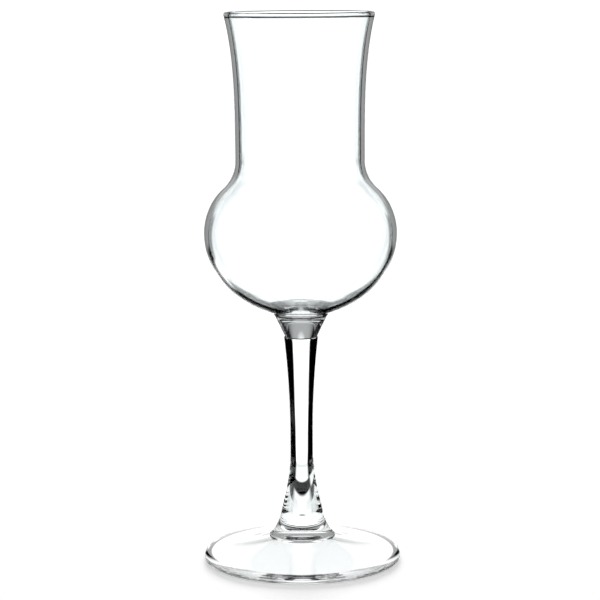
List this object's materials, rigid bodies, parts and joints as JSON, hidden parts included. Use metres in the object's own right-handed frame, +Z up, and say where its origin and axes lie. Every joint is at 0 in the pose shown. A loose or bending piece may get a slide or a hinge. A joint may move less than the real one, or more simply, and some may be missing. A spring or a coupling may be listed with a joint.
{
  "type": "grappa glass",
  "caption": "Stemmed clear glass for grappa: flared chimney mouth over a round bulb, slim stem, wide foot with a hollow underside.",
  "frame": {"origin": "centre of the foot's resting ring, on the table", "axes": "+Z up along the stem, from the foot to the rim; X and Y are alike, as every piece is turned about Z"},
  "size_m": [0.056, 0.056, 0.155],
  "materials": {
    "bowl_glass": "clear, fire-polished",
    "stem_glass": "clear, fire-polished",
    "foot_glass": "clear, fire-polished"
  },
  "bodies": {
    "root": {"bowl": "bowl_glass", "stem": "stem_glass", "foot": "foot_glass"}
  },
  "joints": []
}
